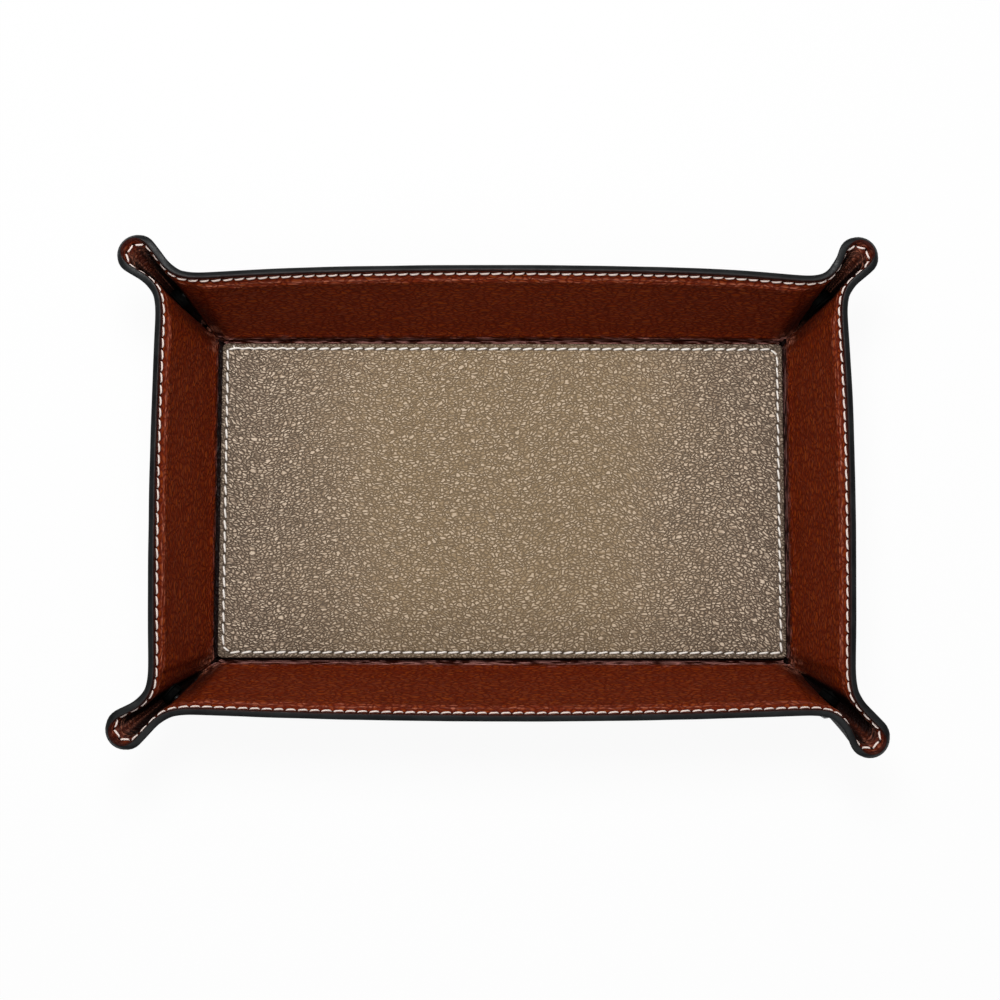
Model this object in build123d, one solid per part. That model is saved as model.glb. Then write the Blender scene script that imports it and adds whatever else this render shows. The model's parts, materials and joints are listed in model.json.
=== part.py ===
from build123d import *
import math
import os

# Valet tray: a leather sheet with four stiffened walls that lean outwards and four pinched corners.
# The origin is on the ground under the middle of the tray, with +X along its length and +Z up.
# All sizes are in mm.

# Base panel, which sets the length and width of everything else
panel_length = 200.0
panel_width = 112.0
panel_thickness = 1.4
panel_corner_radius = 1.6
panel_edge_round = 0.5
panel_backing_thickness = 0.8
panel_margin = 2.1  # open crease between the panel and the foot of each wall

# Leather, from the ground upwards and from the outside inwards
cover_thickness = 1.1
lining_thickness = 1.0

# Stiffeners
base_board_thickness = 1.6
wall_board_thickness = 1.0
board_corner_radius = 1.2
wall_board_foot_gap = 2.7  # height of bare leather that folds, above the crease
wall_board_rim_gap = 5.4  # height of bare leather that is stitched, under the rim
wall_board_foot_end = 4.5  # what a board stops short of the corner, at its foot
wall_board_rim_end = 10.5  # and at its top
wall_board_corner_cut = 1.5  # the four corners of a wall board are snipped

# Walls, measured on the lining
rim_height = 37.5
long_wall_spread = 17.3  # how far the rim stands out from the foot
short_wall_spread = 15.1
long_wall_bow = 2.8  # how much further the middle of the rim stands out
short_wall_bow = 1.5

# Pinched corners: a narrow neck that opens into a round ear, tapering to nothing at the crease
crease_half_gap = 0.15
crease_slot = 0.8
crease_outer_radius = 0.5
neck_half_gap = 2.5
neck_outer_radius = 6.0
ear_radius = 4.5
ear_reach = 11.6  # from the corner where the two rim lines would meet to the middle of the ear
corner_size_shares = (0.86, 1.08, 1.06, 1.03)  # the corners are pinched by hand and differ a little
ear_turns = (7.8, -3.0, -7.0, 10.2)  # degrees that each ear points away from the diagonal
ear_tip_lean_share = 0.35  # the tip leans more than the walls, so its leather measures more across

# Press studs that hold the necks shut
stud_height = 21.0
stud_press = 0.55  # how far the closed discs hold the leather in from its free line
cap_diameter = 8.0
cap_height = 1.5
cap_bevel = 0.8
cap_lift = 0.75  # leather gathered under the cap
post_diameter = 2.6
socket_diameter = 7.2
socket_bore = 4.0
socket_bore_share = 0.55  # of the socket's thickness
socket_post_hole_share = 0.2
stud_flange = 0.6
stud_ball_diameter = 3.7
stud_ball_bevel = 0.4
eyelet_diameter = 7.2
eyelet_flange = 0.5
eyelet_bore = 1.6
snap_gap = 0.25  # between the faces of a closed stud

clearance = 0.1
overrun = 5.0

corner_names = ("back_right", "back_left", "front_left", "front_right")
corner_signs = ((1, 1), (-1, 1), (-1, -1), (1, -1))

# Worked out from the sizes above
leather_thickness = cover_thickness + lining_thickness
foot_half_length = panel_length / 2 + panel_margin
foot_half_width = panel_width / 2 + panel_margin
wall_rise = rim_height - leather_thickness
wall_lean = math.atan2((long_wall_spread + short_wall_spread) / 2, wall_rise)


def across(depth):
    """Horizontal measure of a layer that lies at this depth, square to a leaning wall."""
    return depth / math.cos(wall_lean)


def between(share, at_foot, at_rim):
    return at_foot + share * (at_rim - at_foot)


def share_at(height):
    """0 where the lining meets the crease, 1 at the rim."""
    return (height - leather_thickness) / wall_rise


class Corner:
    """Plan of one pinched corner at a share of the wall's height, turned to where x and y are positive."""

    def __init__(self, index, share):
        turn = math.radians(45 + ear_turns[index])
        self.along = Vector(math.cos(turn), math.sin(turn))
        self.aside = Vector(-math.sin(turn), math.cos(turn))
        half_length = foot_half_length + share * (short_wall_spread - short_wall_bow)
        half_width = foot_half_width + share * (long_wall_spread - long_wall_bow)
        self.meet = Vector(half_length, half_width)
        self.share = max(share, 0)
        self.neck_radius = across(leather_thickness) + between(
            self.share, crease_outer_radius, neck_outer_radius * corner_size_shares[index])
        self.half_gap = between(self.share, crease_half_gap, neck_half_gap)
        self.ear_radius = between(self.share, crease_half_gap, ear_radius)
        foot_reach = max(self.neck_middle(1), self.neck_middle(-1)) + crease_slot
        self.reach = between(self.share, foot_reach, ear_reach * corner_size_shares[index])

    def side_normal(self, side):
        """Outward direction of the rim line where it meets the corner: side 1 long wall, -1 short wall."""
        if side > 0:
            slope = 2 * math.atan2(self.share * long_wall_bow, foot_half_length)
            return Vector(math.sin(slope), math.cos(slope))
        slope = 2 * math.atan2(self.share * short_wall_bow, foot_half_width)
        return Vector(math.cos(slope), math.sin(slope))

    def neck_middle(self, side):
        """How far along the ear's axis the bend between wall and neck has its centre."""
        normal = self.side_normal(side)
        rise = (self.neck_radius + self.half_gap) * side * self.aside.dot(normal)
        return (self.neck_radius - rise) / self.along.dot(normal)

    def bend_centre(self, side):
        lateral = self.aside * (side * (self.neck_radius + self.half_gap))
        return self.meet + self.along * self.neck_middle(side) + lateral

    def wall_point(self, side, offset):
        return self.bend_centre(side) - self.side_normal(side) * (self.neck_radius - offset)

    def ear_points(self, side, offset):
        """Points from the wall to the ear's tip: side 1 on the long wall, -1 on the short wall."""
        centre = self.bend_centre(side)
        reach = self.reach + ear_tip_lean_share * offset
        ear_centre = self.meet + self.along * reach
        lateral = self.neck_radius + self.half_gap
        run = reach - self.neck_middle(side)
        spread = math.asin((self.neck_radius + self.ear_radius) / math.hypot(run, lateral))
        spread -= math.atan2(lateral, run)
        bend = self.neck_radius - offset
        ear = self.ear_radius + offset
        wall_point = self.wall_point(side, offset)
        toward_ear = self.along * math.sin(spread) - self.aside * (side * math.cos(spread))
        neck_point = centre + toward_ear * bend
        bend_middle = centre + ((wall_point - centre) + (neck_point - centre)).normalized() * bend
        ear_point = ear_centre - toward_ear * ear
        tip = ear_centre + self.along * ear
        ear_middle = ear_centre + ((ear_point - ear_centre) + (tip - ear_centre)).normalized() * ear
        return [wall_point, bend_middle, neck_point, ear_point, ear_middle, tip]


def placed(point, signs, height):
    return Vector(signs[0] * point.X, signs[1] * point.Y, height)


def corner_edges(index, share, offset, height, with_ears):
    """Edges of one corner, walked the same way round the tray, with the points where the walls join it."""
    signs = corner_signs[index]
    corner = Corner(index, share)
    arriving = -1 if signs[0] * signs[1] > 0 else 1
    start = placed(corner.wall_point(arriving, offset), signs, height)
    end = placed(corner.wall_point(-arriving, offset), signs, height)
    if not with_ears:
        return [Line(start, end)], start, end
    first = [placed(point, signs, height) for point in corner.ear_points(arriving, offset)]
    last = [placed(point, signs, height) for point in corner.ear_points(-arriving, offset)]
    edges = [
        ThreePointArc(first[0], first[1], first[2]),
        Line(first[2], first[3]),
        ThreePointArc(first[3], first[4], first[5]),
        ThreePointArc(last[5], last[4], last[3]),
        Line(last[3], last[2]),
        ThreePointArc(last[2], last[1], last[0]),
    ]
    return edges, start, end


def tray_outline(share, offset, height, with_ears):
    """Closed outline of the walls at one height, an even offset outside the lining's face."""
    corners = [corner_edges(index, share, offset, height, with_ears) for index in range(len(corner_signs))]
    half_length = foot_half_length + share * short_wall_spread + offset
    half_width = foot_half_width + share * long_wall_spread + offset
    middles = [Vector(0, half_width, height), Vector(-half_length, 0, height),
               Vector(0, -half_width, height), Vector(half_length, 0, height)]
    edges = []
    for index, (corner, _, leaving) in enumerate(corners):
        arriving = corners[(index + 1) % len(corners)][1]
        edges += corner
        if share > 0:
            edges.append(ThreePointArc(leaving, middles[index], arriving))
        else:
            edges.append(Line(leaving, arriving))
    return Wire(edges)


def tray_body(depth, with_ears=True):
    """Everything inside the face that lies at this depth outside the lining, up to the rim."""
    foot = leather_thickness - depth
    return Solid.make_loft([
        tray_outline(share_at(foot), across(depth), foot, with_ears),
        tray_outline(1, across(depth), rim_height, with_ears),
    ], ruled=True)


def wall_zone(along_x, side, grow):
    """Block that bounds one wall's stiffener, grown on every side by the leather that wraps it."""
    low = leather_thickness + wall_board_foot_gap - grow
    high = rim_height - wall_board_rim_gap + grow
    foot_half = foot_half_length if along_x else foot_half_width
    corner_spread = short_wall_spread - short_wall_bow if along_x else long_wall_spread - long_wall_bow
    half_low = foot_half + share_at(low) * corner_spread - wall_board_foot_end + grow
    half_high = foot_half + share_at(high) * corner_spread - wall_board_rim_end + grow
    across_wall = (foot_half_width if along_x else foot_half_length) / 2
    reach = across_wall + long_wall_spread + short_wall_spread + overrun
    corners = [(-half_low, low), (half_low, low), (half_high, high), (-half_high, high)]
    outline = make_face(Polyline(*corners, close=True))
    outline = chamfer(outline.vertices(), wall_board_corner_cut)
    if along_x:
        plane = Plane(origin=(0, side * across_wall, 0), x_dir=(-side, 0, 0), z_dir=(0, side, 0))
    else:
        plane = Plane(origin=(side * across_wall, 0, 0), x_dir=(0, side, 0), z_dir=(side, 0, 0))
    return extrude(plane * outline, amount=reach)


def rounded_plate(length, width, thickness, radius, bottom):
    outline = RectangleRounded(length, width, radius)
    return Pos(0, 0, bottom) * extrude(outline, amount=thickness)


def neck_face_middle(index, side):
    """Middle of the neck's straight stretch on the lining, at the height of the stud."""
    share = share_at(stud_height)
    middles = []
    for end in (0, 1):
        points = Corner(index, end).ear_points(side, 0)
        middles.append((points[2] + points[3]) / 2)
    return placed(middles[0] + (middles[1] - middles[0]) * share, corner_signs[index], stud_height)


def stud_frame(index):
    """Plane in the middle of one neck, facing its long wall, and half the gap that the neck leaves."""
    long_face = neck_face_middle(index, 1)
    short_face = neck_face_middle(index, -1)
    axis = (long_face - short_face).normalized()
    frame = Plane(origin=(long_face + short_face) / 2, x_dir=(0, 0, 1), z_dir=axis)
    return frame, (long_face - short_face).length / 2


def disc(frame, diameter, start, end):
    """Round bar on the stud's axis from start to end, measured from the middle of the neck."""
    return frame.offset(start) * extrude(Circle(diameter / 2), amount=end - start)


def export(name, shape):
    export_step(shape, os.path.join("parts", name + ".step"))


os.makedirs("parts", exist_ok=True)

# Leather skins and the stiffeners between them
outer = tray_body(leather_thickness)
middle = tray_body(lining_thickness)
inner = tray_body(0)
skin = middle - inner
wall_faces = tray_body(lining_thickness, with_ears=False)
board_faces = tray_body(lining_thickness - wall_board_thickness, with_ears=False)
wrap_faces = tray_body(-wall_board_thickness, with_ears=False)

panel_bottom = cover_thickness + base_board_thickness + lining_thickness + panel_backing_thickness
base_board = rounded_plate(panel_length - 2 * lining_thickness, panel_width - 2 * lining_thickness,
                           base_board_thickness, board_corner_radius, cover_thickness)
base_wrap = rounded_plate(panel_length, panel_width, base_board_thickness + lining_thickness,
                          board_corner_radius + lining_thickness, cover_thickness)

wall_places = {"back": (True, 1), "front": (True, -1), "right": (False, 1), "left": (False, -1)}
wall_boards = {}
lining = skin + base_wrap
for name, (along_x, side) in wall_places.items():
    wall_boards[name] = (wall_faces & wall_zone(along_x, side, 0)) - board_faces
    lining += (wall_faces & wall_zone(along_x, side, lining_thickness)) - wrap_faces
lining -= base_board
for board in wall_boards.values():
    lining -= board
cover = outer - middle

# Press studs, each seated on flats pressed into the leather of its neck
for index, corner_name in enumerate(corner_names):
    frame, face = stud_frame(index)
    inside = face - stud_press
    outside = face + across(leather_thickness) + cap_lift
    cap = disc(frame, cap_diameter, outside, outside + cap_height)
    cap = chamfer(cap.edges().sort_by(Axis(frame.origin, frame.z_dir))[-1], cap_bevel)
    socket_face = stud_flange + snap_gap - inside
    bore_end = between(socket_bore_share, socket_face, inside)
    post_end = between(socket_post_hole_share, inside, socket_face)
    cap += disc(frame, post_diameter, post_end, outside)
    socket = disc(frame, socket_diameter, socket_face, inside)
    socket -= disc(frame, post_diameter, post_end, inside + overrun)
    socket -= disc(frame, socket_bore, socket_face - overrun, bore_end)
    ball_face = stud_flange - inside
    ball = disc(frame, stud_ball_diameter, ball_face, bore_end - clearance)
    ball = chamfer(ball.edges().sort_by(Axis(frame.origin, frame.z_dir))[-1], stud_ball_bevel)
    stud = disc(frame, socket_diameter, -inside, ball_face) + ball
    stud -= disc(frame, post_diameter, -inside - overrun, ball_face)
    eyelet = disc(frame, eyelet_diameter, -outside - eyelet_flange, -outside)
    eyelet += disc(frame, post_diameter, -outside, ball_face)
    eyelet -= disc(frame, eyelet_bore, -outside - overrun, -inside)
    cover -= disc(frame, cap_diameter + 2 * clearance, outside, outside + overrun)
    cover -= disc(frame, eyelet_diameter + 2 * clearance, -outside - overrun, -outside)
    cover -= disc(frame, post_diameter, -outside - overrun, outside + overrun)
    lining -= disc(frame, socket_diameter + 2 * clearance, -inside, inside)
    lining -= disc(frame, post_diameter, -outside - overrun, outside + overrun)
    export("stud_cap_" + corner_name, cap)
    export("stud_socket_" + corner_name, socket)
    export("stud_ball_" + corner_name, stud)
    export("stud_eyelet_" + corner_name, eyelet)

# Base panel, laid on the wrapped board
panel_backing = rounded_plate(panel_length, panel_width, panel_backing_thickness,
                              panel_corner_radius, panel_bottom - panel_backing_thickness)
base_panel = rounded_plate(panel_length, panel_width, panel_thickness, panel_corner_radius, panel_bottom)
base_panel = fillet(base_panel.edges().group_by(Axis.Z)[-1], panel_edge_round)

export("outer_cover", cover)
export("inner_lining", lining)
export("base_board", base_board)
for name, board in wall_boards.items():
    export(name + "_wall_board", board)
export("panel_backing", panel_backing)
export("base_panel", base_panel)
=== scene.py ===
import json
import math
import random

import bmesh
import bpy
from mathutils import Matrix, Vector, noise

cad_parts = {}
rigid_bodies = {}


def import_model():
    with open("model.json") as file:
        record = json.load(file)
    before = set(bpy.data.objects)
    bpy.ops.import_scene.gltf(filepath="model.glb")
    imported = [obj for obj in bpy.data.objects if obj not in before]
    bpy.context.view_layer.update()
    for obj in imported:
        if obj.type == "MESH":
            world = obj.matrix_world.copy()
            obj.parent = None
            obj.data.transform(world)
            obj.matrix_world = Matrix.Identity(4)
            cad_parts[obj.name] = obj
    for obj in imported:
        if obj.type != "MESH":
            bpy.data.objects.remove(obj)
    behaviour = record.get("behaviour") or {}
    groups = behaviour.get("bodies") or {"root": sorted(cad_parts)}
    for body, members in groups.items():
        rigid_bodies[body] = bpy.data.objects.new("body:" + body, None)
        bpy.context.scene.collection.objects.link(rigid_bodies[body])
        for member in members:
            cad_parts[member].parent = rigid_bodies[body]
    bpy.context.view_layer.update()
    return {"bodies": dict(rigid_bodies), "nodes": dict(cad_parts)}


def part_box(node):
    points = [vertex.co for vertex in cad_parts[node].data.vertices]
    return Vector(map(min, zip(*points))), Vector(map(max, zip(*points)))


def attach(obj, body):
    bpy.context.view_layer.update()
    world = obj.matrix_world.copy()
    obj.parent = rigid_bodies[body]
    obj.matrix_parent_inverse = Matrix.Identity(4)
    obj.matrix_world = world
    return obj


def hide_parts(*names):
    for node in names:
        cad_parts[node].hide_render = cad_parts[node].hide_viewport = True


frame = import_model()
body = sorted(frame["bodies"])[0]
print("frame loaded:", len(frame["nodes"]), "nodes on", body)

mm = 0.001               # shapes are worked out in millimetres, and each finished mesh is scaled to metres
panelLow, panelHigh = [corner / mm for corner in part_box("base_panel")]
boardLow, boardHigh = [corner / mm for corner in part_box("back_wall_board")]
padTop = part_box("panel_backing")[0].z / mm
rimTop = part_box("outer_cover")[1].z / mm


def between(low, high, share):
    return low + (high - low) * share


def clamp(value, low=0, high=1):
    return min(max(value, low), high)


def smooth(low, high, value):
    share = clamp((value - low) / (high - low))
    return share * share * (3 - 2 * share)


def hump(middle, width, value):
    return math.exp(-((value - middle) / width) ** 2)


# The plan of the walls and of the four pinched corners, the same as the leather is cut and folded to
tray = {
    "coverThickness": 1.1,
    "liningThickness": 1.0,
    "flatSize": (0.197, 0.285),      # metres; each leather before its corners are pinched
    "panelMargin": 2.1,      # open crease round the panel
    "longSpread": 17.3,      # how far the rim stands out from the foot
    "shortSpread": 15.1,
    "longBow": 2.8,          # how much further the middle of the rim stands out
    "shortBow": 1.5,
    "creaseHalfGap": 0.15,
    "creaseSlot": 0.8,
    "creaseRadius": 0.5,
    "neckHalfGap": 2.5,
    "neckRadius": 6.0,
    "earRadius": 4.5,
    "earReach": 11.6,
    "earTipLean": 0.35,
    "bendMark": 0.3,         # a column's ear mark: 0 on a wall, this where the bend ends,
    "openMark": 0.6,         # this where the ear opens, and 1 at its tip
    "flareFrom": (0.55, 0.95),       # from this ear mark to this one, as in each pair called From below
    "earFlare": 0.34,        # the ear's tip curls outwards towards the rim
    "earPinchFrom": (0.45, 0.75),
    "earPinch": 0.4,         # halfway up, an ear is drawn together by this share
    "neckPinchFrom": (0, 0.2),
    "neckPinch": 0.13,       # a little under the rim, a neck is drawn together by this share
    "neckPinchHeight": 0.64,
    "easingFrom": (0.45, 0.15),
    "rimEasing": 44,         # rounds of smoothing where the rim bends into a neck
    # which corner is drawn in, along which axis, and how far
    "pulls": (((1, 1), 0, 1.7), ((1, 1), 1, 0.8), ((-1, 1), 0, 0.8)),
    "pullFrom": (0.1, 0.2),
    "pullReach": (26.0, 6.0),        # columns, along the wall and into the neck
    "pullProbe": 8,          # so many columns on, it shows on which side the wall lies
    "bendSteps": 20,
    "neckSteps": 6,
    "earSteps": 26,
    "wallSteps": 60,
    "paintHeight": 0.35,     # edge paint stands this proud of the cut edge
    "stitchPitch": 4.0,
    "stitchInset": 2.3,
    "columnsPerStitch": 4,
}
corners = [
    {"signs": (1, 1), "size": 0.86, "turn": 7.8},        # from the back right corner anticlockwise
    {"signs": (-1, 1), "size": 1.08, "turn": -3.0},
    {"signs": (-1, -1), "size": 1.06, "turn": -7.0},
    {"signs": (1, -1), "size": 1.03, "turn": 10.2},
]
leather = tray["coverThickness"] + tray["liningThickness"]
footHalf = Vector((panelHigh.x + tray["panelMargin"], panelHigh.y + tray["panelMargin"]))
wallRise = rimTop - leather
wallLean = math.atan2((tray["longSpread"] + tray["shortSpread"]) / 2, wallRise)
cornerSpread = Vector((tray["shortSpread"] - tray["shortBow"], tray["longSpread"] - tray["longBow"]))


def cornerPlan(corner, share):
    turn = math.radians(45 + corner["turn"])
    along = Vector((math.cos(turn), math.sin(turn)))
    plan = {"along": along, "aside": Vector((-along.y, along.x)), "meet": footHalf + cornerSpread * share}
    share = max(share, 0)
    bend = leather / math.cos(wallLean)
    bend += between(tray["creaseRadius"], tray["neckRadius"] * corner["size"], share)
    plan["bend"] = bend
    plan["lateral"] = bend + between(tray["creaseHalfGap"], tray["neckHalfGap"], share)
    plan["ear"] = between(tray["creaseHalfGap"], tray["earRadius"], share)
    plan["normal"], plan["middle"] = {}, {}
    for side, bow, half in ((1, tray["longBow"], footHalf.x), (-1, tray["shortBow"], footHalf.y)):
        slope = 2 * math.atan2(share * bow, half)
        normal = Vector((math.sin(slope), math.cos(slope)))
        normal = normal if side > 0 else normal.yx
        rise = plan["lateral"] * side * plan["aside"].dot(normal)
        plan["normal"][side] = normal
        plan["middle"][side] = (bend - rise) / along.dot(normal)
    footReach = max(plan["middle"].values()) + tray["creaseSlot"]
    plan["reach"] = between(footReach, tray["earReach"] * corner["size"], share)
    return plan


def arcPoints(centre, start, end, radius, steps):
    first = math.atan2(start.y, start.x)
    turn = math.remainder(math.atan2(end.y, end.x) - first, 2 * math.pi)
    angles = [first + turn * step / steps for step in range(steps + 1)]
    return [centre + Vector((math.cos(angle), math.sin(angle))) * radius for angle in angles]


def cornerPath(corner, share, offset, side):
    # from the wall round the bend and along the neck to the ear's tip
    plan = cornerPlan(corner, share)
    along, aside, bend, lateral = plan["along"], plan["aside"], plan["bend"], plan["lateral"]
    reach = plan["reach"] + tray["earTipLean"] * offset
    run = reach - plan["middle"][side]
    spread = math.asin((bend + plan["ear"]) / math.hypot(run, lateral)) - math.atan2(lateral, run)
    towardEar = along * math.sin(spread) - aside * (side * math.cos(spread))
    centre = plan["meet"] + along * plan["middle"][side] + aside * (side * lateral)
    earCentre = plan["meet"] + along * reach
    points = arcPoints(centre, -plan["normal"][side], towardEar, bend - offset, tray["bendSteps"])
    neckStart = points.pop()
    earArc = arcPoints(earCentre, -towardEar, along, plan["ear"] + offset, tray["earSteps"])
    steps = tray["neckSteps"]
    points += [neckStart.lerp(earArc[0], step / steps) for step in range(steps)]
    return points + earArc


def cornerAxis(corner):
    # where the two walls would meet, at the foot and at the rim, and the direction across the ear
    signs = Vector(corner["signs"])
    meets = [cornerPlan(corner, share)["meet"] * signs for share in (0, 1)]
    return meets[0], meets[1], cornerPlan(corner, 1)["aside"] * signs


def cornerMarks():
    bendMark, openMark = tray["bendMark"], tray["openMark"]
    marks = [bendMark * step / tray["bendSteps"] for step in range(tray["bendSteps"])]
    marks += [between(bendMark, openMark, step / tray["neckSteps"]) for step in range(tray["neckSteps"])]
    marks += [between(openMark, 1, step / tray["earSteps"]) for step in range(tray["earSteps"] + 1)]
    return marks + marks[-2::-1]


def wallPath(start, middle, end):
    points = []
    axis = 0 if abs(start.x - end.x) > abs(start.y - end.y) else 1
    for step in range(1, tray["wallSteps"]):
        point = start.lerp(end, step / tray["wallSteps"])
        near = start if point[axis] * start[axis] > 0 else end
        point[1 - axis] = between(middle[1 - axis], near[1 - axis], (point[axis] / near[axis]) ** 2)
        points.append(point)
    return points


def outline(share, offset):
    # the closed line of the walls seen from above, the same number of points at any height
    paths = []
    for corner in corners:
        signs = Vector(corner["signs"])
        arriving = -1 if signs.x * signs.y > 0 else 1
        path = cornerPath(corner, share, offset, arriving)
        path += cornerPath(corner, share, offset, -arriving)[-2::-1]
        paths.append([point * signs for point in path])
    half = footHalf + Vector((tray["shortSpread"], tray["longSpread"])) * share + Vector((offset, offset))
    middles = [Vector((0, half.y)), Vector((-half.x, 0)), Vector((0, -half.y)), Vector((half.x, 0))]
    points = []
    for path, middle, after in zip(paths, middles, paths[1:] + paths[:1]):
        points += path + wallPath(path[-1], middle, after[0])
    return points


def rimColumns():
    # foot and rim of the inner face at every point of the outline
    foot, rim = outline(0, 0), outline(1, leather / math.cos(wallLean))
    marks, axes, raw = [], [], []
    for corner in corners:
        marks += cornerMarks() + [0] * (tray["wallSteps"] - 1)
        axes += [cornerAxis(corner)] * (len(marks) - len(axes))
    for index, point in enumerate(rim):
        tangent = (rim[(index + 1) % len(rim)] - rim[index - 1]).normalized()
        normal = Vector((tangent.y, -tangent.x))
        lean = wallLean
        for _ in range(4):       # the wall's lean and its run settle together
            run = (point - foot[index]).dot(normal) - leather * math.cos(lean)
            lean = math.atan2(run, wallRise)
        inner = point - normal * (leather * math.cos(lean))
        raw.append({
            "foot": foot[index].to_3d() + Vector((0, 0, leather)),
            "rim": inner.to_3d() + Vector((0, 0, rimTop - tray["paintHeight"])),
            "ear": marks[index],
            "axis": axes[index],
        })
    start = tray["bendSteps"] + tray["neckSteps"] // 2      # the grain's own seam hides in the first neck
    return raw[start:] + raw[:start]


def pullBends(columns):
    # three wall ends are drawn in further than the others where they bend into their necks
    low, high = tray["pullFrom"]
    bending = [at for at, column in enumerate(columns) if low < column["ear"] < high]
    for signs, axis, pull in tray["pulls"]:
        here = [at for at in bending if min(columns[at]["rim"].to_2d() * Vector(signs)) > 0]
        bend = min(here, key=lambda at: abs(columns[at]["rim"][axis]))
        probe = columns[(bend + tray["pullProbe"]) % len(columns)]
        nearer = abs(probe["rim"][axis]) < abs(columns[bend]["rim"][axis])
        for at, column in enumerate(columns):
            away = math.remainder(at - bend, len(columns)) * (1 if nearer else -1)
            reach = tray["pullReach"][0 if away > 0 else 1]
            column["rim"][1 - axis] -= signs[1 - axis] * pull * hump(0, reach, away)


def easeBends(columns):
    # thick leather turns into a neck more gently at the rim than the arcs do
    for _ in range(tray["rimEasing"]):
        line = [column["rim"] for column in columns]
        for at, column in enumerate(columns):
            middle = (line[at - 1] + line[(at + 1) % len(line)]) / 2
            column["rim"] = line[at].lerp(middle, 0.5 * smooth(*tray["easingFrom"], column["ear"]))


def sheetColumns():
    # one dictionary for each column of the leather, evenly spaced along the seam
    raw = rimColumns()
    inset = tray["stitchInset"]
    seam = [entry["rim"] + (entry["foot"] - entry["rim"]).normalized() * inset for entry in raw]
    reached = [0]
    for spot, after in zip(seam, seam[1:] + seam[:1]):
        reached.append(reached[-1] + (after - spot).length)
    count = round(reached[-1] / tray["stitchPitch"]) * tray["columnsPerStitch"]
    columns, index = [], 0
    for step in range(count):
        goal = reached[-1] * step / count
        while reached[index + 1] <= goal:
            index += 1
        share = (goal - reached[index]) / (reached[index + 1] - reached[index])
        first, second = raw[index], raw[(index + 1) % len(raw)]
        column = {key: first[key].lerp(second[key], share) for key in ("foot", "rim")}
        column["ear"] = between(first["ear"], second["ear"], share)
        column["axis"] = first["axis"]
        columns.append(column)
    pullBends(columns)
    easeBends(columns)
    for column in columns:
        column["slant"] = (column["rim"] - column["foot"]).length
    return columns


def wallPoint(column, share):
    ear = column["ear"]
    flare = tray["earFlare"] * smooth(*tray["flareFrom"], ear) * (share * share - share)
    point = column["foot"].lerp(column["rim"], share + flare)
    footMeet, rimMeet, across = column["axis"]
    upper = clamp((share - tray["neckPinchHeight"]) / (1 - tray["neckPinchHeight"]))
    # 6.75 and 4 bring the tops of the two curves to 1
    atNeck = tray["neckPinch"] * smooth(*tray["neckPinchFrom"], ear) * 6.75 * upper * upper * (1 - upper)
    atEar = tray["earPinch"] * 4 * share * max(1 - share, 0)
    pinch = between(atNeck, atEar, smooth(*tray["earPinchFrom"], ear))
    aside = across * (pinch * (point.to_2d() - footMeet.lerp(rimMeet, share)).dot(across))
    height = between(column["foot"].z, column["rim"].z, share)
    return Vector((point.x - aside.x, point.y - aside.y, height))


def wallLines(lines):
    # places on the walls, and distances from the rim, for rows of shares of the height
    pairs = [list(zip(columns, line)) for line in lines]
    seams = [[column["slant"] * (1 - share) for column, share in row] for row in pairs]
    return [[wallPoint(column, share) for column, share in row] for row in pairs], seams


def outwardNormals(points):
    # away from the inside of the tray: outwards on the walls and down on the floor
    normals = []
    for row, line in enumerate(points):
        below, above = points[max(row - 1, 0)], points[min(row + 1, len(points) - 1)]
        size = len(line)
        normals.append([
            (line[(at + 1) % size] - line[at - 1]).cross(above[at] - below[at]).normalized()
            for at in range(size)])
    return normals


def surfaceFrame(at, fromRim, depth=0.0):
    # place, outward and upward direction so far below the rim of a wall and so deep in the leather
    column, before, after = [columns[one % len(columns)] for one in (at, at - 1, at + 1)]
    share = 1 - fromRim / column["slant"]
    up = wallPoint(column, share + 0.01) - wallPoint(column, share - 0.01)
    behind, ahead = [wallPoint(one, 1 - fromRim / one["slant"]) for one in (before, after)]
    outward = (ahead - behind).cross(up).normalized()
    return wallPoint(column, share) + outward * depth, outward, up.normalized()


def nearestOnPlate(point, half, radius):
    core = Vector((max(half.x - radius, 0), max(half.y - radius, 0)))
    held = Vector((clamp(point.x, -core.x, core.x), clamp(point.y, -core.y, core.y)))
    away = point.to_2d() - held
    return held + (away.normalized() * radius if away.length > 0 else away)


def panelHalf(inset):
    return Vector((panelHigh.x - inset, panelHigh.y - inset))


def wrapGrid(points, closedRows=False, seams=None, marks=()):
    # a grid laid on rows of places that run round the object; its last column joins the first
    bm = bmesh.new()
    rows, columns = len(points), len(points[0])
    spans = rows if closedRows else rows - 1
    bmesh.ops.create_grid(bm, x_segments=columns, y_segments=spans, size=1)
    layer = bm.loops.layers.uv.new("seam")
    layers = {name: bm.verts.layers.float.new(name) for name in dict(marks)}
    for vert in bm.verts:
        row, column = round((vert.co.y + 1) / 2 * spans), round((vert.co.x + 1) / 2 * columns)
        rise = seams[row % rows][column % columns] if seams else row
        for loop in vert.link_loops:
            loop[layer].uv = (column / tray["columnsPerStitch"], rise)
        for name, mark in layers.items():
            vert[mark] = marks[name][row % rows][column % columns]
        vert.co = points[row % rows][column % columns]
    bmesh.ops.remove_doubles(bm, verts=bm.verts, dist=0.0005)
    bmesh.ops.dissolve_degenerate(bm, edges=bm.edges, dist=0.0001)
    return bm


def fillBelow(bm, height):
    # closes the open middle of a sheet's floor, and leaves its rim open
    rim = [edge for edge in bm.edges if edge.is_boundary and edge.verts[0].co.z < height]
    bmesh.ops.holes_fill(bm, edges=rim, sides=0)


def faceUp(bm, up):
    # turns a whole open sheet so that its floor faces up or down
    bmesh.ops.recalc_face_normals(bm, faces=bm.faces)
    if (sum(face.normal.z * face.calc_area() for face in bm.faces) > 0) != up:
        bmesh.ops.reverse_faces(bm, faces=bm.faces)


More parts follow.
